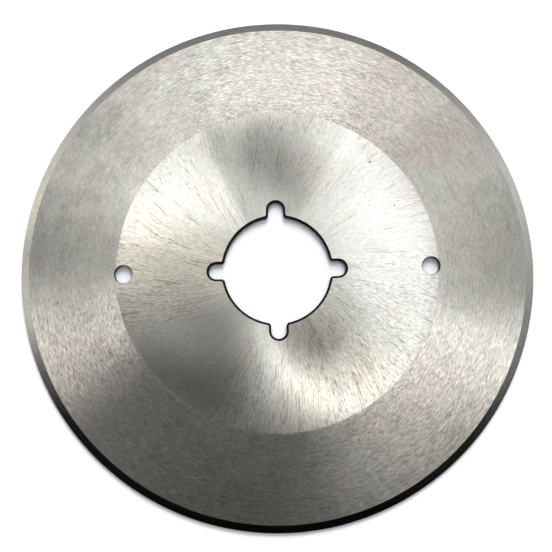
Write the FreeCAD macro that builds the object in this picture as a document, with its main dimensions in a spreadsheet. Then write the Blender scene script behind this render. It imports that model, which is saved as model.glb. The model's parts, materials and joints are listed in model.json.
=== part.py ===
import FreeCAD, Part
import math
import os
import Sketcher

# Round cutter blade: one steel disc lying flat, ground on both faces
# The origin is the middle of the bore, on the lower face. Z is the bore's axis, and X runs
# through the two pin holes. Both faces are alike, so the section mirrors about half its height.

SIZES = [
    ("OuterDiameter", 135.0, "across the cutting edge"),
    ("HubThickness", 1.5, "between the two flat faces"),
    ("FlatDiameter", 84.9, "where the flat faces end and the taper starts"),
    ("ShoulderThickness", 1.0, "where the taper ends and the bevels start"),
    ("BevelWidth", 2.05, "along the radius, from the shoulder to the edge"),
    ("BoreDiameter", 28.6, "the central hole"),
    ("NotchWidth", 4.4, "across one notch in the bore"),
    ("NotchDepth", 3.95, "from the bore's wall to the round end of a notch"),
    ("NotchCount", 4, "evenly spaced round the bore, the first on X"),
    ("MouthRound", 0.8, "radius of the corners between the bore and a notch"),
    ("BoreChamfer", 0.4, "all along the outline of the bore, on both faces"),
    ("PinHoleDiameter", 4.7, "one pin hole"),
    ("PinCircleDiameter", 81.0, "through the middles of the pin holes"),
    ("PinCount", 2, "evenly spaced on their circle, the first on X"),
    ("PinChamfer", 0.12, "at both ends of a pin hole"),
]

START, END, CENTRE = range(1, 4)
SKETCH_Y, SKETCH_X = range(-2, 0)
ORIGIN = (SKETCH_X, START)
FULL_TURN = 360.0
CLOSE = 1e-4

doc = FreeCAD.newDocument("RoundCutterBlade")
sheet = doc.addObject("Spreadsheet::Sheet", "Sizes")
for row, (alias, value, meaning) in enumerate(SIZES, start=1):
    sheet.set("A%d" % row, alias)
    sheet.set("B%d" % row, str(value))
    sheet.set("C%d" % row, meaning)
    sheet.setAlias("B%d" % row, alias)
doc.recompute()

body = doc.addObject("PartDesign::Body", "Blade")
body.Label = "blade"

# Sketches


def own_origin(role):
    """The body's own origin plane or axis with that role."""
    return next(part for part in body.Origin.OriginFeatures if part.Role == role)


def new_sketch(name, plane):
    sketch = body.newObject("Sketcher::SketchObject", name)
    sketch.AttachmentSupport = [(own_origin(plane), "")]
    sketch.MapMode = "FlatFace"
    return sketch


def draw_outline(sketch, points):
    """Straight lines from each point to the next and back to the first, joined at their ends."""
    corners = [FreeCAD.Vector(x, y, 0) for x, y in points]
    for start, end in zip(corners, corners[1:] + corners[:1]):
        sketch.addGeometry(Part.LineSegment(start, end), False)
    for line in range(len(corners)):
        following = (line + 1) % len(corners)
        sketch.addConstraint(Sketcher.Constraint("Coincident", line, END, following, START))


def dimension(sketch, name, kind, places, expression, drawn):
    """Adds a dimension, as drawn, and ties it to the sheet by an expression."""
    number = sketch.addConstraint(Sketcher.Constraint(kind, *places, drawn))
    sketch.renameConstraint(number, name)
    sketch.setExpression("Constraints." + name, expression)


# Features


def finish(feature):
    """Recomputes, and stops if the feature did not leave a sound solid."""
    body.Tip = feature
    doc.recompute()
    if feature.Shape.isNull() or not feature.Shape.isValid():
        raise RuntimeError(feature.Label + " left no sound solid")
    return feature


def finish_cut(feature, volume_before):
    """A cut that points away from the metal takes nothing off, so the volumes are compared."""
    finish(feature)
    if feature.Shape.Volume > volume_before - CLOSE:
        raise RuntimeError(feature.Label + " cut nothing")
    return feature


def cut_through(name, sketch):
    """Pockets a sketch on the lower face upwards, through the whole blade."""
    volume_before = body.Shape.Volume
    pocket = body.newObject("PartDesign::Pocket", name)
    pocket.Profile = sketch
    pocket.Type = "ThroughAll"
    pocket.Reversed = True
    return finish_cut(pocket, volume_before)


def repeat_round_bore(name, feature, count):
    """Repeats a cut evenly round the bore's axis, as often as the sheet's cell says."""
    volume_before = body.Shape.Volume
    pattern = body.newObject("PartDesign::PolarPattern", name)
    pattern.Originals = [feature]
    pattern.Axis = (own_origin("Z_Axis"), [""])
    pattern.Angle = FULL_TURN
    pattern.setExpression("Occurrences", count)
    return finish_cut(pattern, volume_before)


def edge_names(feature, wanted):
    return ["Edge%d" % n for n, edge in enumerate(feature.Shape.Edges, start=1) if wanted(edge)]


def from_axis(vertex):
    return math.hypot(vertex.X, vertex.Y)


def dress_up(kind, name, feature, wanted, size, expression):
    """Rounds or chamfers the edges of a feature that are wanted."""
    volume_before = body.Shape.Volume
    dressed = body.newObject("PartDesign::" + kind, name)
    dressed.Base = (feature, edge_names(feature, wanted))
    dressed.setExpression(size, expression)
    return finish_cut(dressed, volume_before)


# Blank: flat hub, taper ground web and double bevel, turned from one section


def turn_blank():
    outer = sheet.OuterDiameter / 2
    shoulder = outer - sheet.BevelWidth
    flat = sheet.FlatDiameter / 2
    height = sheet.HubThickness
    taper = (height - sheet.ShoulderThickness) / 2

    section = new_sketch("BladeSection", "XZ_Plane")
    draw_outline(
        section,
        [
            (0, 0),
            (flat, 0),
            (shoulder, taper),
            (outer, height / 2),
            (shoulder, height - taper),
            (flat, height),
            (0, height),
        ],
    )
    lower_flat, lower_taper, lower_bevel, upper_bevel, upper_taper, upper_flat, middle = range(7)
    section.addConstraint(
        [
            Sketcher.Constraint("Coincident", lower_flat, START, *ORIGIN),
            Sketcher.Constraint("Horizontal", lower_flat),
            Sketcher.Constraint("Horizontal", upper_flat),
            Sketcher.Constraint("Vertical", middle),
            Sketcher.Constraint("Vertical", lower_flat, END, upper_flat, START),
            Sketcher.Constraint("Vertical", lower_taper, END, upper_bevel, END),
        ]
    )
    rim, hub = "Sizes.OuterDiameter / 2", "Sizes.HubThickness"
    drop = "(Sizes.HubThickness - Sizes.ShoulderThickness) / 2"
    for name, kind, line, expression, drawn in [
        ("FlatRadius", "DistanceX", lower_flat, "Sizes.FlatDiameter / 2", flat),
        ("ShoulderRadius", "DistanceX", lower_taper, rim + " - Sizes.BevelWidth", shoulder),
        ("ShoulderLow", "DistanceY", lower_taper, drop, taper),
        ("ShoulderHigh", "DistanceY", upper_bevel, hub + " - " + drop, height - taper),
        ("EdgeRadius", "DistanceX", lower_bevel, rim, outer),
        ("EdgeHeight", "DistanceY", lower_bevel, hub + " / 2", height / 2),
        ("HubHeight", "DistanceY", upper_flat, hub, height),
    ]:
        dimension(section, name, kind, (*ORIGIN, line, END), expression, drawn)

    blank = body.newObject("PartDesign::Revolution", "GroundBlank")
    blank.Profile = section
    blank.ReferenceAxis = (section, ["V_Axis"])
    blank.Angle = FULL_TURN
    return finish(blank)


# Bore with its notches: the hole, one notch repeated, rounded mouths and a chamfered outline


def cut_bore():
    bore_circle = new_sketch("BoreCircle", "XY_Plane")
    centre, up = FreeCAD.Vector(0, 0, 0), FreeCAD.Vector(0, 0, 1)
    bore_circle.addGeometry(Part.Circle(centre, up, sheet.BoreDiameter / 2), False)
    bore_circle.addConstraint(Sketcher.Constraint("Coincident", 0, CENTRE, *ORIGIN))
    dimension(bore_circle, "BoreWidth", "Diameter", (0,), "Sizes.BoreDiameter", sheet.BoreDiameter)
    return cut_through("Bore", bore_circle)


def cut_notches():
    half = sheet.NotchWidth / 2
    round_middle = sheet.BoreDiameter / 2 + sheet.NotchDepth - half
    quarter = math.pi / 2

    outline = new_sketch("NotchOutline", "XY_Plane")
    centre, up = FreeCAD.Vector(round_middle, 0, 0), FreeCAD.Vector(0, 0, 1)
    inner_low, inner_high = FreeCAD.Vector(0, -half, 0), FreeCAD.Vector(0, half, 0)
    outer_low = FreeCAD.Vector(round_middle, -half, 0)
    outer_high = FreeCAD.Vector(round_middle, half, 0)
    inner_end, low_side, round_end, high_side = range(4)
    outline.addGeometry(Part.LineSegment(inner_high, inner_low), False)
    outline.addGeometry(Part.LineSegment(inner_low, outer_low), False)
    outline.addGeometry(Part.ArcOfCircle(Part.Circle(centre, up, half), -quarter, quarter), False)
    outline.addGeometry(Part.LineSegment(outer_high, inner_high), False)
    outline.addConstraint(
        [
            Sketcher.Constraint("Coincident", inner_end, END, low_side, START),
            Sketcher.Constraint("Tangent", low_side, END, round_end, START),
            Sketcher.Constraint("Tangent", round_end, END, high_side, START),
            Sketcher.Constraint("Coincident", high_side, END, inner_end, START),
            Sketcher.Constraint("PointOnObject", inner_end, START, SKETCH_Y),
            Sketcher.Constraint("PointOnObject", inner_end, END, SKETCH_Y),
            Sketcher.Constraint("Horizontal", low_side),
            Sketcher.Constraint("Horizontal", high_side),
            Sketcher.Constraint("PointOnObject", round_end, CENTRE, SKETCH_X),
        ]
    )
    across = (inner_end, END, inner_end, START)
    dimension(outline, "Width", "DistanceY", across, "Sizes.NotchWidth", sheet.NotchWidth)
    reach = "Sizes.BoreDiameter / 2 + Sizes.NotchDepth - Sizes.NotchWidth / 2"
    dimension(outline, "Reach", "DistanceX", (*ORIGIN, round_end, CENTRE), reach, round_middle)
    notch = cut_through("Notch", outline)
    return repeat_round_bore("Notches", notch, "Sizes.NotchCount")


def round_mouths(notches):
    """The upright edges where a notch's side meets the bore's wall."""

    def on_bore_wall(edge):
        ends = edge.Vertexes
        upright = len(ends) == 2 and abs(ends[0].X - ends[1].X) + abs(ends[0].Y - ends[1].Y) < CLOSE
        return upright and abs(from_axis(ends[0]) - sheet.BoreDiameter / 2) < CLOSE

    return dress_up("Fillet", "NotchMouths", notches, on_bore_wall, "Radius", "Sizes.MouthRound")


def chamfer_bore(mouths):
    """The edges of both flat faces that lie inside the rim of the flats."""

    def on_bore_outline(edge):
        heights = [vertex.Z for vertex in edge.Vertexes]
        on_face = any(
            all(abs(height - face) < CLOSE for height in heights) for face in (0, sheet.HubThickness)
        )
        inside = all(from_axis(vertex) < sheet.FlatDiameter / 2 - CLOSE for vertex in edge.Vertexes)
        return on_face and inside

    return dress_up("Chamfer", "BoreEdges", mouths, on_bore_outline, "Size", "Sizes.BoreChamfer")


# Pin holes: one countersunk cut, as wide at each face as its chamfer makes it, repeated


def cut_pin_holes():
    middle = sheet.PinCircleDiameter / 2
    radius = sheet.PinHoleDiameter / 2
    chamfer = sheet.PinChamfer
    height = sheet.HubThickness
    flared = radius + 2 * chamfer

    profile = new_sketch("PinHoleProfile", "XZ_Plane")
    draw_outline(
        profile,
        [
            (middle, -chamfer),
            (middle + flared, -chamfer),
            (middle + radius, chamfer),
            (middle + radius, height - chamfer),
            (middle + flared, height + chamfer),
            (middle, height + chamfer),
        ],
    )
    lower_end, lower_cone, wall, upper_cone, upper_end, centre_line = range(6)
    profile.addConstraint(
        [
            Sketcher.Constraint("Horizontal", lower_end),
            Sketcher.Constraint("Horizontal", upper_end),
            Sketcher.Constraint("Vertical", wall),
            Sketcher.Constraint("Vertical", centre_line),
            Sketcher.Constraint("Vertical", lower_end, END, upper_end, START),
        ]
    )
    across, above = "2 * Sizes.PinChamfer", "Sizes.HubThickness + Sizes.PinChamfer"
    for name, kind, places, expression, drawn in [
        ("Middle", "DistanceX", (*ORIGIN, lower_end, START), "Sizes.PinCircleDiameter / 2", middle),
        ("Radius", "DistanceX", (lower_end, START, wall, START), "Sizes.PinHoleDiameter / 2", radius),
        ("Flare", "DistanceX", (wall, START, lower_end, END), across, 2 * chamfer),
        ("BelowFace", "DistanceY", (lower_end, START, *ORIGIN), "Sizes.PinChamfer", chamfer),
        ("LowerRise", "DistanceY", (lower_cone, START, wall, START), across, 2 * chamfer),
        ("UpperRise", "DistanceY", (wall, END, upper_cone, END), across, 2 * chamfer),
        ("AboveFace", "DistanceY", (*ORIGIN, upper_end, END), above, height + chamfer),
    ]:
        dimension(profile, name, kind, places, expression, drawn)

    volume_before = body.Shape.Volume
    hole = body.newObject("PartDesign::Groove", "PinHole")
    hole.Profile = profile
    hole.ReferenceAxis = (profile, ["Edge%d" % (centre_line + 1)])
    hole.Angle = FULL_TURN
    finish_cut(hole, volume_before)
    return repeat_round_bore("PinHoles", hole, "Sizes.PinCount")


turn_blank()
cut_bore()
notches = cut_notches()
mouths = round_mouths(notches)
chamfer_bore(mouths)
cut_pin_holes()

# The blade has to come out whole before it is written

doc.recompute()
for item in doc.Objects:
    if "Invalid" in item.State or "Error" in item.State:
        raise RuntimeError(item.Label + " failed to recompute")
if body.Shape.isNull() or not body.Shape.isValid() or len(body.Shape.Solids) != 1:
    raise RuntimeError("the blade is not one sound solid")

os.makedirs("parts", exist_ok=True)
body.Shape.exportStep(os.path.join("parts", body.Label + ".step"))
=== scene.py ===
import json
import math

import bpy
from mathutils import Matrix, Vector


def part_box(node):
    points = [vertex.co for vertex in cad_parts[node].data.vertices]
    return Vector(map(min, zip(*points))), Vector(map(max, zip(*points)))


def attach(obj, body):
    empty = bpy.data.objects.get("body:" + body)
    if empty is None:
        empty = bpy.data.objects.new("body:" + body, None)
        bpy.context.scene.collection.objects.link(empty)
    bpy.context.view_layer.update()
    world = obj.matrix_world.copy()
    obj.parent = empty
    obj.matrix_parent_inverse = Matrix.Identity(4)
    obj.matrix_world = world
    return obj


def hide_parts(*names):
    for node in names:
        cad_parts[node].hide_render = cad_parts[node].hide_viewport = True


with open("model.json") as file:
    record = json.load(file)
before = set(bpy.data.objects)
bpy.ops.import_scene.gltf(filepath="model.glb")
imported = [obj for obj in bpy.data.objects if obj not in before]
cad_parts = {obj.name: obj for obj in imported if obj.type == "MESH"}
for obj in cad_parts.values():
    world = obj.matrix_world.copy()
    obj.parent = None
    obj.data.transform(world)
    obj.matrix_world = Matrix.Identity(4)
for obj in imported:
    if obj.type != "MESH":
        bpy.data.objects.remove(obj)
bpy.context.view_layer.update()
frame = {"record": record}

# Round cutter blade, lying flat, ground bright on both faces
# Metres and radians, but the sectors of the grind and the rings of lamps are in degrees.
# The bore's axis is Z, and the two pin holes lie on X.

MM = 0.001
DEGREE = math.pi / 180
FULL_TURN = 2 * math.pi

# Sizes that the frame gives

LOW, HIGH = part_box("blade")
FITS = {mount["name"]: mount for mount in frame["record"]["mounts"]}
THICKNESS = HIGH.z - LOW.z
RIM_RADIUS = HIGH.x
BORE_RADIUS = FITS["bore"]["dims"]["r_mm"] * MM
PIN_RADIUS = FITS["pin_hole_plus_x"]["dims"]["r_mm"] * MM
PIN_MIDDLES = [Vector(FITS[name]["pos_m"]) for name in ("pin_hole_plus_x", "pin_hole_minus_x")]

# Sizes of the section and of the cuts

FLAT_RADIUS = 42.45 * MM
BEVEL_WIDTH = 2.05 * MM
SHOULDER_THICKNESS = 1.0 * MM
NOTCH_WIDTH = 4.4 * MM
NOTCH_DEPTH = 3.95 * MM
NOTCH_COUNT = 4
MOUTH_ROUND = 0.8 * MM
BORE_CHAMFER = 0.4 * MM
SCALE_THICKNESS = 0.2 * MM
PIN_CHAMFER = 0.12 * MM

SHOULDER_RADIUS = RIM_RADIUS - BEVEL_WIDTH
SHOULDER_DROP = (THICKNESS - SHOULDER_THICKNESS) / 2
NOTCH_MIDDLE = BORE_RADIUS + NOTCH_DEPTH - NOTCH_WIDTH / 2
MOUTH_Y = NOTCH_WIDTH / 2 + MOUTH_ROUND
MOUTH_X = math.sqrt((BORE_RADIUS + MOUTH_ROUND) ** 2 - MOUTH_Y**2)
MOUTH_ANGLE = math.atan2(MOUTH_Y, MOUTH_X)
NEAR = 0.01 * MM
DOUBLE = NEAR / 10

# How finely the round stretches are divided, and up to what angle they are shaded as round

RIM_STEPS = 720
NOTCH_STEPS = 20
MOUTH_STEPS = 6
BORE_STEPS = 40
PIN_STEPS = 72
SMOOTH_ANGLE = 5 * DEGREE

# Modelling helpers


def start_piece(name):
    """An empty mesh piece at the origin, in edit mode."""
    bpy.ops.object.select_all(action="DESELECT")
    bpy.ops.mesh.primitive_plane_add(size=MM)
    piece = bpy.context.object
    piece.name = piece.data.name = name
    bpy.ops.object.mode_set(mode="EDIT")
    bpy.ops.mesh.delete(type="VERT")
    return piece


def select_edges(piece, wanted):
    """Selects, in edit mode, just the edges that are wanted by the places of their two ends."""
    bpy.ops.mesh.select_mode(type="EDGE")
    bpy.ops.mesh.select_all(action="DESELECT")
    bpy.ops.object.mode_set(mode="OBJECT")
    for edge in piece.data.edges:
        edge.select = wanted([piece.data.vertices[v].co for v in edge.vertices])
    bpy.ops.object.mode_set(mode="EDIT")


def from_axis(point):
    return math.hypot(point.x, point.y)


def on_circle(radius, height):
    """Whether all points lie on that circle round the bore's axis."""
    return lambda points: all(
        abs(from_axis(p) - radius) < NEAR and abs(p.z - height) < NEAR for p in points
    )


def in_bore(height):
    """Whether all points lie on the outline of the bore at that height."""
    return lambda points: all(
        from_axis(p) < BORE_RADIUS + NOTCH_DEPTH + BORE_CHAMFER + NEAR and abs(p.z - height) < NEAR
        for p in points
    )


def start_line(place):
    """Puts down one point, from which lines and arcs are then drawn."""
    bpy.ops.mesh.select_all(action="DESELECT")
    bpy.ops.mesh.primitive_plane_add(size=MM, location=place)
    bpy.ops.mesh.merge(type="CENTER")


def draw_straight(step):
    bpy.ops.mesh.extrude_region_move(TRANSFORM_OT_translate={"value": step})


def draw_arc(middle, turn, steps):
    """Carries the last point round a middle, anticlockwise seen from above."""
    bpy.ops.mesh.spin(steps=steps, angle=-turn, center=middle, axis=(0, 0, 1))


def draw_circle(radius, height):
    bpy.ops.mesh.primitive_circle_add(vertices=RIM_STEPS, radius=radius, location=(0, 0, height))


def draw_bore_outline(spread, height):
    """The bore with its notches and their rounded mouths, moved into the metal by spread.

    Each turn draws a notch's round end and side, its mouth, the bore as far as the next notch, and
    that one's mouth and side."""
    half = NOTCH_WIDTH / 2 + spread
    straight = NOTCH_MIDDLE - MOUTH_X
    mouth_turn = math.pi / 2 - MOUTH_ANGLE
    notch_turn = FULL_TURN / NOTCH_COUNT
    start_line((NOTCH_MIDDLE, -half, height))
    for notch in range(NOTCH_COUNT):
        turned = Matrix.Rotation(notch * notch_turn, 3, "Z")
        draw_arc(turned @ Vector((NOTCH_MIDDLE, 0, height)), math.pi, NOTCH_STEPS)
        draw_straight(turned @ Vector((-straight, 0, 0)))
        draw_arc(turned @ Vector((MOUTH_X, MOUTH_Y, height)), -mouth_turn, MOUTH_STEPS)
        draw_arc((0, 0, height), notch_turn - 2 * MOUTH_ANGLE, BORE_STEPS)
        turned = Matrix.Rotation((notch + 1) * notch_turn, 3, "Z")
        draw_arc(turned @ Vector((MOUTH_X, -MOUTH_Y, height)), -mouth_turn, MOUTH_STEPS)
        draw_straight(turned @ Vector((straight, 0, 0)))


def join_loops(piece, *loops):
    """Bridges two loops of edges with one strip of faces."""
    select_edges(piece, lambda points: any(loop(points) for loop in loops))
    bpy.ops.mesh.bridge_edge_loops()


def fill_between(piece, *loops):
    """Fills the flat ring between an inner and an outer loop of edges."""
    select_edges(piece, lambda points: any(loop(points) for loop in loops))
    bpy.ops.mesh.fill()


def close_up(piece):
    """Merges doubles, turns all faces outwards and leaves edit mode."""
    bpy.ops.mesh.select_all(action="SELECT")
    bpy.ops.mesh.remove_doubles(threshold=DOUBLE)
    bpy.ops.mesh.normals_make_consistent(inside=False)
    bpy.ops.object.mode_set(mode="OBJECT")


# Blade: flat hub, taper ground web and double bevel round a notched bore


def model_blade():
    """Draws the outlines at their heights, and bridges them from the rim inwards on both faces."""
    piece = start_piece("blade_ground")
    for height, inwards in ((LOW.z, 1), (HIGH.z, -1)):
        draw_bore_outline(BORE_CHAMFER, height)
        draw_bore_outline(-SCALE_THICKNESS, height + inwards * BORE_CHAMFER)
        draw_circle(FLAT_RADIUS, height)
        draw_circle(SHOULDER_RADIUS, height + inwards * SHOULDER_DROP)
    draw_circle(RIM_RADIUS, (LOW.z + HIGH.z) / 2)
    bpy.ops.mesh.select_all(action="SELECT")
    bpy.ops.mesh.remove_doubles(threshold=DOUBLE)

    rim = on_circle(RIM_RADIUS, (LOW.z + HIGH.z) / 2)
    for height, inwards in ((LOW.z, 1), (HIGH.z, -1)):
        shoulder = on_circle(SHOULDER_RADIUS, height + inwards * SHOULDER_DROP)
        flat = on_circle(FLAT_RADIUS, height)
        join_loops(piece, rim, shoulder)
        join_loops(piece, shoulder, flat)
        join_loops(piece, in_bore(height), in_bore(height + inwards * BORE_CHAMFER))
        fill_between(piece, flat, in_bore(height))
    join_loops(piece, in_bore(LOW.z + BORE_CHAMFER), in_bore(HIGH.z - BORE_CHAMFER))
    for height in (LOW.z, HIGH.z):
        select_edges(piece, on_circle(FLAT_RADIUS, height))
        bpy.ops.mesh.mark_sharp()
    close_up(piece)
    return piece


def model_pin_cutter(middle):
    """A round cutter that flares at both faces, as a countersink does."""
    flare = 2 * PIN_CHAMFER
    cutter = start_piece("pin_cutter")
    for height, radius in (
        (LOW.z - PIN_CHAMFER, PIN_RADIUS + flare),
        (LOW.z + PIN_CHAMFER, PIN_RADIUS),
        (HIGH.z - PIN_CHAMFER, PIN_RADIUS),
        (HIGH.z + PIN_CHAMFER, PIN_RADIUS + flare),
    ):
        bpy.ops.mesh.primitive_circle_add(
            vertices=PIN_STEPS, radius=radius, location=(middle.x, middle.y, height)
        )
    bpy.ops.mesh.select_all(action="SELECT")
    bpy.ops.mesh.bridge_edge_loops()
    for height in (LOW.z - PIN_CHAMFER, HIGH.z + PIN_CHAMFER):
        select_edges(cutter, lambda points: all(abs(p.z - height) < NEAR for p in points))
        bpy.ops.mesh.edge_face_add()
    close_up(cutter)
    return cutter


def cut(piece, cutter):
    """Takes the cutter's shape out of the piece, and throws the cutter away."""
    bpy.ops.object.select_all(action="DESELECT")
    bpy.context.view_layer.objects.active = piece
    piece.select_set(True)
    boolean = piece.modifiers.new("cut", "BOOLEAN")
    boolean.operation = "DIFFERENCE"
    boolean.solver = "EXACT"
    boolean.object = cutter
    bpy.ops.object.modifier_apply(modifier=boolean.name)
    bpy.data.objects.remove(cutter)


# Shader maths


class Value:
    """An output of a node. Arithmetic on it adds Math nodes. One with no socket only starts a tree."""

    def __init__(self, tree, socket=None):
        self.tree = tree
        self.socket = socket

    def node(self, kind, settings, inputs, output=0):
        """Adds a node of that kind, sets it, then fills its sockets with values or links."""
        made = self.tree.nodes.new("ShaderNode" + kind)
        for name, setting in settings.items():
            setattr(made, name, setting)
        for name, given in inputs.items():
            if isinstance(given, Value):
                self.tree.links.new(given.socket, made.inputs[name])
            else:
                made.inputs[name].default_value = given
        return Value(self.tree, made.outputs[output])

    def math(self, operation, *terms):
        return self.node("Math", {"operation": operation}, dict(enumerate(terms)))

    def __add__(self, other):
        return self.math("ADD", self, other)

    def __sub__(self, other):
        return self.math("SUBTRACT", self, other)

    def __rsub__(self, other):
        return self.math("SUBTRACT", other, self)

    def __mul__(self, other):
        return self.math("MULTIPLY", self, other)

    def __truediv__(self, other):
        return self.math("DIVIDE", self, other)

    def __abs__(self):
        return self.math("ABSOLUTE", self)

    __radd__ = __add__
    __rmul__ = __mul__

    def ramp(self, low, high, to_low=0.0, to_high=1.0):
        """Goes smoothly from to_low to to_high while the value rises from low to high."""
        sockets = {"Value": self, "From Min": low, "From Max": high}
        sockets.update({"To Min": to_low, "To Max": to_high})
        return self.node("MapRange", {"interpolation_type": "SMOOTHSTEP"}, sockets)

    def along(self, axis):
        """How far a vector reaches along an axis."""
        sockets = {0: self, 1: tuple(axis)}
        return self.node("VectorMath", {"operation": "DOT_PRODUCT"}, sockets, "Value")

    def vector(self, operation, *terms):
        return self.node("VectorMath", {"operation": operation}, dict(enumerate(terms)))

    def scaled(self, factor):
        """A colour or vector, with each of its three numbers times a factor."""
        return self.node("VectorMath", {"operation": "SCALE"}, {0: self, "Scale": factor})

    def noise(self, detail, roughness):
        """Cloudy noise about 0, with clouds about one unit across."""
        sockets = {"Vector": self, "Scale": 1.0, "Detail": detail, "Roughness": roughness}
        return self.node("TexNoise", {}, sockets) - 0.5

    def blend(self, first, second):
        """A colour, first where this value is 0 and second where it is 1."""
        return self.node("Mix", {"data_type": "RGBA"}, {0: self, 6: first, 7: second}, 2)


def start_nodes(owner, kind):
    """Clears the nodes of a material or world. Gives a start for expressions and the output's sockets."""
    owner.use_nodes = True
    owner.node_tree.nodes.clear()
    output = owner.node_tree.nodes.new("ShaderNodeOutput" + kind)
    return Value(owner.node_tree), output.inputs


def connect(value, socket):
    value.tree.links.new(value.socket, socket)


# Ground steel: one round pattern for all zones, drawn in the blade's own turns and radii


class RoundPlace:
    """A place on the blade, as its distance from the bore's axis and its direction from it."""

    def __init__(self, start, lean=0.0):
        """Lean turns the outer places against the inner ones, in radians for each metre out."""
        place = start.node("TexCoord", {}, {}, "Object")
        flat = place.vector("MULTIPLY", place, (1, 1, 0))
        self.radius = flat.node("VectorMath", {"operation": "LENGTH"}, {0: flat}, "Value")
        sockets = {"Vector": flat, "Angle": self.radius * lean}
        self.turned = flat.node("VectorRotate", {"rotation_type": "Z_AXIS"}, sockets)
        self.direction = self.turned.vector("NORMALIZE", self.turned)

    def grain(self, round_size, out_size, at_radius, detail, roughness=0.5):
        """Noise with clouds round_size long round the bore, at that radius, and out_size long outwards."""
        turns = at_radius / round_size
        stretched = self.direction.vector("MULTIPLY", self.direction, (turns, turns, 0))
        outwards = self.radius.node("CombineXYZ", {}, {"Z": self.radius / out_size})
        return stretched.vector("ADD", stretched, outwards).noise(detail, roughness)

    def sector(self, middle, half, soft):
        """1 in a sector of that half angle round its middle, fading to 0 over soft, all in degrees."""
        towards = self.direction.along((math.cos(middle * DEGREE), math.sin(middle * DEGREE), 0))
        off = towards.math("ARCCOSINE", towards)
        return off.ramp((half - soft / 2) * DEGREE, (half + soft / 2) * DEGREE, 1.0, 0.0)


WIDE_ROUGHNESS = 0.29
BURR_SHARE = 0.3
SCRATCH_DEPTH = 1e-3 * MM
HONE_DEPTH = 0.5e-3 * MM
SCALE_DEPTH = 5e-3 * MM
ACROSS_SCRATCHES, ALONG_SCRATCHES = 0.978, 0.25


def bare_steel(colour, roughness, burrs, relief, depth, anisotropy, turn):
    """Steel that mirrors keenly between its scratches, while their burrs throw a share of it wide.

    The relief's depth is in metres, and the turn is that of the scratches."""
    sockets = {
        "Base Color": colour,
        "Metallic": 1.0,
        "Anisotropic": anisotropy,
        "Anisotropic Rotation": turn,
        "Normal": relief.node("Bump", {}, {"Height": relief, "Distance": depth, "Strength": 1.0}),
    }
    keen, wide = (
        colour.node("BsdfPrincipled", {}, {**sockets, "Roughness": spread})
        for spread in (roughness, WIDE_ROUGHNESS)
    )
    return colour.node("MixShader", {}, {0: burrs, 1: keen, 2: wide})


HUB_MIDDLE = 30 * MM
HUB_LEAN = 3.0
CROSS_LEAN = 9.0
SWEEP_LEAN = -28.0
HUB_STEEL = (0.715, 0.712, 0.655, 1)
COOL_STEEL = (0.71, 0.712, 0.68, 1)
STRAW_STEEL = (0.74, 0.7, 0.605, 1)


def hub_scratches(place, across, cloud):
    """Long fine lines that come in groups, some along the grind and some a little across it."""
    group = across.grain(3 * MM, 8 * MM, HUB_MIDDLE, 1.0)
    lines = place.grain(0.22 * MM, 12 * MM, HUB_MIDDLE, 0.0).ramp(0.07, 0.17)
    cross_lines = across.grain(0.22 * MM, 16 * MM, HUB_MIDDLE, 0.0).ramp(0.09, 0.19)
    lines = lines * group.ramp(0.0, 0.12)
    cross_lines = cross_lines * cloud.ramp(0.0, 0.12)
    return lines.math("MAXIMUM", lines, cross_lines)


def hub_painted_light_and_pits(place, swept, dark_reflection_wedge):
    """The factor by which each zone of the hub is painted darker or lighter than the rest, as painted
    reflections, shade and highlights, with the hub's own tiny pits.
    """
    # Painted dark reflections: grey sectors near the bore and the notch at the front right, a thin dark
    # streak there, and a dark wedge at the back.
    painted_shade_near_bore = place.radius.ramp(20 * MM, 32 * MM, 1.0, 0.0) * place.sector(300, 22, 14)
    painted_shade_near_notch = place.radius.ramp(22 * MM, 30 * MM, 1.0, 0.0) * place.sector(292, 13, 3)
    painted_dark_streak = place.radius.ramp(26 * MM, 38 * MM, 1.0, 0.0) * place.sector(301, 3, 4)
    painted_dark_reflection = place.sector(96, 27.5, 4)
    shading = (1.0 - 0.08 * painted_shade_near_bore) * (1.0 - 0.1 * painted_shade_near_notch)
    shading = shading * (1.0 - 0.12 * painted_dark_streak) * (1.0 - 0.15 * painted_dark_reflection)

    # Painted highlights and shade: bright bands and sectors, a painted shade at the front left, and a
    # painted highlight just inside the edge of the flat.
    painted_bright_bands = 0.15 * place.sector(148, 24, 5) + 0.22 * swept.sector(229, 8, 12)
    outer = place.radius.ramp(30 * MM, 38 * MM)
    painted_bright_sectors = outer * (place.sector(73, 9, 6) + place.sector(111, 5, 6) + place.sector(168, 7, 8))
    shaded = outer * place.sector(237, 20, 14)
    painted_edge_highlight = place.radius.ramp(FLAT_RADIUS - 1.0 * MM, FLAT_RADIUS - 0.2 * MM)
    painted_edge_highlight = painted_edge_highlight * place.sector(228, 18, 16)
    shading = shading * (1.0 + painted_bright_bands + 0.16 * painted_bright_sectors - 0.18 * shaded + 0.25 * painted_edge_highlight)

    pits = place.grain(1.0 * MM, 1.0 * MM, HUB_MIDDLE, 0.0).ramp(0.35, 0.39)
    return shading * (1.0 - 0.6 * pits * (1.0 - dark_reflection_wedge))


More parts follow.
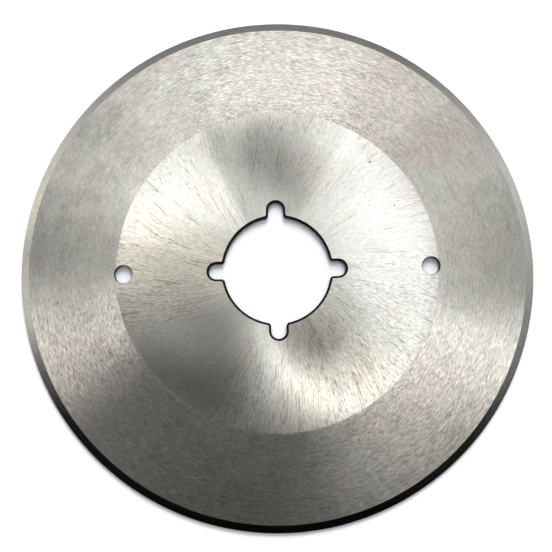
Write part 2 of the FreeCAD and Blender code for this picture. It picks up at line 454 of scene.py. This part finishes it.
def hub_steel():
    """Nearly radial hairlines in groups, over a bright ground with a few tiny pits."""
    material = bpy.data.materials.new("hub_steel")
    start, surface = start_nodes(material, "Material")
    place = RoundPlace(start, HUB_LEAN)
    across = RoundPlace(start, CROSS_LEAN)
    swept = RoundPlace(start, SWEEP_LEAN)
    hair = place.grain(0.24 * MM, 1.3 * MM, HUB_MIDDLE, 2.0, 0.6)
    streak = place.grain(0.7 * MM, 9 * MM, HUB_MIDDLE, 1.0)
    cloud = place.grain(6 * MM, 9 * MM, HUB_MIDDLE, 2.0)
    scratched = hub_scratches(place, across, cloud)

    # The sector where the hub mirrors a dark wedge of the room; there its hairlines, scratches and pits
    # are painted fainter, as shade hides them.
    dark_reflection_wedge = place.sector(229, 16, 16)
    # The hairlines and scratches are the grind's own grain; their contrast is painted stronger in the
    # sectors where they catch light, as painted glints.
    front = place.sector(264, 12, 14)
    front_right = place.sector(326, 40, 30)
    left = place.sector(186, 22, 14)
    back_left = place.sector(148, 16, 20)
    depth = 1.1 + 0.6 * front + 1.15 * front_right + 0.8 * left + 0.3 * back_left - 0.3 * dark_reflection_wedge
    dark = 0.3 + 0.14 * place.sector(172, 30, 20) + 0.12 * place.sector(305, 34, 20)
    dark = dark * (1.0 - 0.7 * dark_reflection_wedge)
    tone = 1.04 + depth * (0.9 * hair + 0.12 * streak) - dark * scratched + 0.14 * cloud
    tone = tone * hub_painted_light_and_pits(place, swept, dark_reflection_wedge)

    warm = cloud + 0.1 + 0.6 * place.sector(182, 26, 22) + 0.3 * place.sector(300, 22, 20)
    ground = place.sector(22, 38, 24).blend(HUB_STEEL, COOL_STEEL)
    colour = (warm + 0.2 * scratched).ramp(0.0, 0.6).blend(ground, STRAW_STEEL)
    shader = bare_steel(
        colour.scaled(tone),
        roughness=0.18 + 0.03 * streak,
        burrs=BURR_SHARE,
        relief=hair,
        depth=SCRATCH_DEPTH,
        anisotropy=1.0,
        turn=ACROSS_SCRATCHES,
    )
    connect(shader, surface["Surface"])
    return material


WEB_MIDDLE = 55 * MM
WEB_STEEL = (0.635, 0.622, 0.565, 1)
GREENISH_STEEL = (0.615, 0.63, 0.565, 1)
PINKISH_STEEL = (0.665, 0.61, 0.555, 1)


def web_painted_light(place):
    """Painted reflection: the web is painted darker beside the hub at the front, and lighter beside it at
    the left.
    """
    painted_dark_fan = place.radius.ramp(46 * MM, 60 * MM, 1.0, 0.0) * place.sector(291, 20, 18)
    painted_bright_sectors = place.radius.ramp(44 * MM, 52 * MM, 1.0, 0.0) * place.sector(194, 12, 12)
    return 1.0 - 0.18 * painted_dark_fan + 0.25 * painted_bright_sectors


def web_steel():
    """Short fine scratches that run round the blade, over a surface ground to a taper."""
    material = bpy.data.materials.new("web_steel")
    start, surface = start_nodes(material, "Material")
    place = RoundPlace(start)
    fleck = place.grain(1.25 * MM, 0.23 * MM, WEB_MIDDLE, 1.0, 0.6)
    glint = place.grain(1.6 * MM, 0.22 * MM, WEB_MIDDLE, 0.0).ramp(0.04, 0.24)
    dash = place.grain(3.5 * MM, 0.5 * MM, WEB_MIDDLE, 1.0)
    cloud = place.grain(5 * MM, 4 * MM, WEB_MIDDLE, 2.0)
    band = place.grain(16 * MM, 1.1 * MM, WEB_MIDDLE, 1.0)
    tint = place.grain(9 * MM, 5 * MM, WEB_MIDDLE, 1.0)

    # The flecks and dashes are the scratches' own grain, also in the relief; in these sectors their
    # contrast is painted stronger where they catch light, as painted glints, and glint adds painted bright
    # specks.
    coarse_and_glinting = place.sector(85, 38, 40) + 1.2 * place.sector(200, 12, 14) + place.sector(316, 27, 30)
    depth = 0.7 + 0.9 * coarse_and_glinting + 0.3 * place.sector(250, 34, 10)
    tone = 0.95 + depth * (1.0 * fleck + 0.25 * glint + 0.35 * dash) + 0.2 * band
    tone = tone + cloud * (0.3 + 0.3 * place.sector(140, 30, 20))
    tone = tone * web_painted_light(place)

    flushed = place.sector(50, 25, 30) + place.sector(312, 18, 20) + 0.9 * place.sector(203, 12, 12)
    pink = (tint + 0.3 * flushed).ramp(0.0, 0.4)
    green = (0.0 - tint).ramp(0.05, 0.3)
    ground = green.blend(WEB_STEEL, GREENISH_STEEL)
    colour = pink.blend(ground, PINKISH_STEEL)
    shader = bare_steel(
        colour.scaled(tone),
        roughness=0.17 + 0.03 * dash,
        burrs=BURR_SHARE,
        relief=depth * (fleck + dash),
        depth=SCRATCH_DEPTH,
        anisotropy=0.95,
        turn=ALONG_SCRATCHES,
    )
    connect(shader, surface["Surface"])
    return material


BEVEL_MIDDLE = 66 * MM
BEVEL_STEEL = (0.63, 0.63, 0.61, 1)
CREAM_STEEL = (0.66, 0.63, 0.53, 1)


def bevel_steel():
    """Finely honed, with hardly a scratch, and stained cream at the left. Painted darker at the front, as
    painted shade.
    """
    material = bpy.data.materials.new("bevel_steel")
    start, surface = start_nodes(material, "Material")
    place = RoundPlace(start)
    hone = place.grain(4 * MM, 0.2 * MM, BEVEL_MIDDLE, 1.0)
    cloud = place.grain(5 * MM, 5 * MM, BEVEL_MIDDLE, 1.0)
    speck = place.grain(0.5 * MM, 0.35 * MM, BEVEL_MIDDLE, 1.0)
    stained = place.sector(176, 30, 20)
    tone = 1.0 + 0.25 * hone + 0.15 * cloud + (0.1 + 0.35 * stained) * speck
    # Painted shade: the bevel is painted darker at the front.
    tone = tone * (1.0 - 0.5 * place.sector(254, 42, 16))
    cream = 0.5 * stained + cloud * (0.6 + 1.5 * stained)
    colour = (cream + 0.2).ramp(0.0, 1.0).blend(BEVEL_STEEL, CREAM_STEEL)
    shader = bare_steel(
        colour.scaled(tone),
        roughness=0.14 + 0.03 * hone,
        burrs=0.0,
        relief=hone,
        depth=HONE_DEPTH,
        anisotropy=0.8,
        turn=ALONG_SCRATCHES,
    )
    connect(shader, surface["Surface"])
    return material


SCALE_MIDDLE = 15 * MM
SCALE_AND_SHADE_BLACK = (0.004, 0.004, 0.005, 1)
SCALE_AND_SHADE_GREY = (0.016, 0.015, 0.014, 1)


def cut_steel():
    """Walls and chamfers of the bore and the pin holes, black partly as scale from hardening and partly as
    painted shade, mirroring little light.
    """
    material = bpy.data.materials.new("cut_steel")
    start, surface = start_nodes(material, "Material")
    scale = RoundPlace(start).grain(0.6 * MM, 0.6 * MM, SCALE_MIDDLE, 3.0)
    sockets = {
        "Base Color": (scale + 0.5).blend(SCALE_AND_SHADE_BLACK, SCALE_AND_SHADE_GREY),
        "Roughness": 0.6 + 0.2 * scale,
        "Specular IOR Level": 0.1,
        "Normal": start.node("Bump", {}, {"Height": scale, "Distance": SCALE_DEPTH, "Strength": 1.0}),
    }
    connect(start.node("BsdfPrincipled", {}, sockets), surface["Surface"])
    return material


WALL_NORMAL = 0.9


def finish_blade(piece):
    """Gives each face the finish of its zone. A face whose normal has less Z than WALL_NORMAL is cut."""
    for material in (hub_steel(), web_steel(), bevel_steel(), cut_steel()):
        piece.data.materials.append(material)
    hub, web, bevel, cut_face = range(4)
    for face in piece.data.polygons:
        nearest = min(from_axis(piece.data.vertices[v].co) for v in face.vertices)
        if nearest > SHOULDER_RADIUS - NEAR:
            face.material_index = bevel
        elif abs(face.normal.z) < WALL_NORMAL:
            face.material_index = cut_face
        elif nearest > FLAT_RADIUS - NEAR:
            face.material_index = web
        else:
            face.material_index = hub


# Camera, with its lens and sensor in millimetres
# Its place, turn and lens were fitted to the blade's edges in the photo.

AIM = Vector((-0.371, -1.457, 0)) * MM
DISTANCE = 192.717 * MM
VIEW_SIDE = 0.28 * DEGREE
VIEW_TILT = 5.537 * DEGREE
VIEW_ROLL = -1.897 * DEGREE
LENS = 47.47
SENSOR = 36.0
CLIP_START = 10 * MM

TURNED = (
    Matrix.Rotation(VIEW_SIDE, 4, "Z")
    @ Matrix.Rotation(VIEW_TILT, 4, "X")
    @ Matrix.Rotation(VIEW_ROLL, 4, "Z")
)
CAMERA_PLACE = Matrix.Translation(AIM) @ TURNED @ Matrix.Translation((0, 0, DISTANCE))


def place_camera():
    data = bpy.data.cameras.new("camera")
    data.sensor_width = SENSOR
    data.lens = LENS
    data.clip_start = CLIP_START
    camera = bpy.data.objects.new("camera", data)
    bpy.context.scene.collection.objects.link(camera)
    camera.matrix_world = CAMERA_PLACE
    bpy.context.scene.camera = camera


# Studio: soft lights on a dark ceiling, each a stretch of a ring, and pale walls
# The rings lie round the way in which the middle of the blade mirrors the camera. Azimuth
# runs anticlockwise from X, and zenith is from the middle of the rings, in degrees.
# The lamps weren't placed by hand. A search program fitted their rows to the photo's tones, and
# the strengths were then rounded. Only the ceiling and the walls were chosen one by one.

MIRRORED = (CAMERA_PLACE.translation * Vector((-1, -1, 1))).normalized()
RING_X = Vector((1, 0, 0)).cross(MIRRORED).cross(MIRRORED).normalized() * -1
RING_Y = MIRRORED.cross(RING_X)

LIGHTS = [
    # Azimuths, how soft, zeniths, how soft, strength
    ((-180, 180), 1, (0, 30), 10, 0.01),  # the dark ceiling
    # Seen in the hub
    ((-23, 40), 6, (4, 13), 2, 2.7),  # right
    ((44, 86), 12, (9, 12), 2, 1.2),  # back right
    ((63, 114), 22, (13, 16), 3, 3.9),  # back
    ((124, 154), 6, (0, 9), 9, 5.6),  # back left, overhead
    ((139, 184), 16, (9, 14), 4, 2.1),  # left
    ((239, 264), 7, (3, 6), 2, 1.4),  # front
    ((287, 317), 32, (8, 13), 2, 4.2),  # front right
    # Seen in the web
    ((44, 131), 14, (15, 19), 2, 3.4),  # back, wide
    ((189, 206), 27, (14, 38), 4, 1.7),  # left, tall
    ((195, 236), 56, (27, 34), 2, 1.0),  # front left
    ((305, 325), 11, (11, 14), 2, 3.2),  # front right, high
    ((320, 343), 15, (11, 18), 2, 2.7),  # front right, beside it
    ((328, 349), 17, (25, 39), 2, 3.2),  # front right, low
    ((333, 415), 6, (27, 40), 2, 1.3),  # right, wide and low
    # Seen in the bevel
    ((-5, 33), 40, (43, 52), 2, 1.0),  # right
    ((19, 166), 25, (15, 48), 16, 0.54),  # back, wide and tall
    ((142, 183), 60, (42, 52), 2, 1.3),  # left
    ((178, 193), 14, (12, 70), 2, 0.48),  # left, narrow and tall
    ((331, 372), 67, (49, 52), 2, 0.2),  # right, faint
    # Round the room
    ((-180, 180), 1, (76, 180), 8, 1.2),  # the pale walls
]


def within(off_middle, limits, soft):
    """1 between the two limits and fading to 0 over soft at each, for a distance from their middle."""
    half = (limits[1] - limits[0]) / 2
    return off_middle.ramp(half - soft / 2, half + soft / 2, 1.0, 0.0)


def light_studio():
    world = bpy.data.worlds.new("studio")
    bpy.context.scene.world = world
    start, surface = start_nodes(world, "World")
    direction = start.node("TexCoord", {}, {}, "Generated")
    x, y, z = (direction.along(axis) for axis in (RING_X, RING_Y, MIRRORED))
    azimuth = y.math("ARCTAN2", y, x) / DEGREE
    zenith = z.math("ARCCOSINE", z) / DEGREE
    level = 0.0
    for azimuths, side_soft, zeniths, end_soft, strength in LIGHTS:
        aside = abs(azimuth.math("WRAP", azimuth - sum(azimuths) / 2, 180, -180))
        away = abs(zenith - sum(zeniths) / 2)
        level = within(aside, azimuths, side_soft) * within(away, zeniths, end_soft) * strength + level
    connect(start.node("Background", {}, {"Strength": level}), surface["Surface"])


# A lamp that throws shadows on the sheet, and that the steel doesn't mirror

SHADE_LAMP_AZIMUTH = 80 * DEGREE
SHADE_LAMP_ZENITH = 57 * DEGREE
SHADE_LAMP_SIZE = 34 * DEGREE
SHADE_LAMP_STRENGTH = 2.8


def hang_shade_lamp():
    data = bpy.data.lights.new("shade_lamp", "SUN")
    data.energy = SHADE_LAMP_STRENGTH
    data.angle = SHADE_LAMP_SIZE
    lamp = bpy.data.objects.new("shade_lamp", data)
    lamp.visible_glossy = False
    bpy.context.scene.collection.objects.link(lamp)
    lamp.rotation_euler = (SHADE_LAMP_ZENITH, 0, SHADE_LAMP_AZIMUTH + math.pi / 2)


FLOOR_SIZE = 4.0
SHEET_WHITE = (0.9, 0.9, 0.9, 1)
PRINTED_WHITE = (1.19, 1.21, 1.26, 1)


def lay_floor():
    """A white sheet. The camera and the steel see it a little whiter than other light finds it."""
    bpy.ops.object.select_all(action="DESELECT")
    bpy.ops.mesh.primitive_plane_add(size=FLOOR_SIZE)
    floor = bpy.context.object
    floor.name = "floor"
    material = bpy.data.materials.new("white_sheet")
    start, surface = start_nodes(material, "Material")
    kinds = ("Is Camera Ray", "Is Glossy Ray", "Is Transmission Ray")
    seen = sum(start.node("LightPath", {}, {}, kind) for kind in kinds)
    colour = seen.blend(SHEET_WHITE, PRINTED_WHITE)
    connect(start.node("BsdfDiffuse", {}, {"Color": colour}), surface["Surface"])
    floor.data.materials.append(material)


# The blade, its light and its place

blade = model_blade()
for pin_middle in PIN_MIDDLES:
    cut(blade, model_pin_cutter(pin_middle))
bpy.ops.object.shade_smooth_by_angle(angle=SMOOTH_ANGLE)
finish_blade(blade)
light_studio()
hang_shade_lamp()
lay_floor()
place_camera()
bpy.context.scene.view_settings.view_transform = "Standard"

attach(blade, "root")
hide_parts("blade")
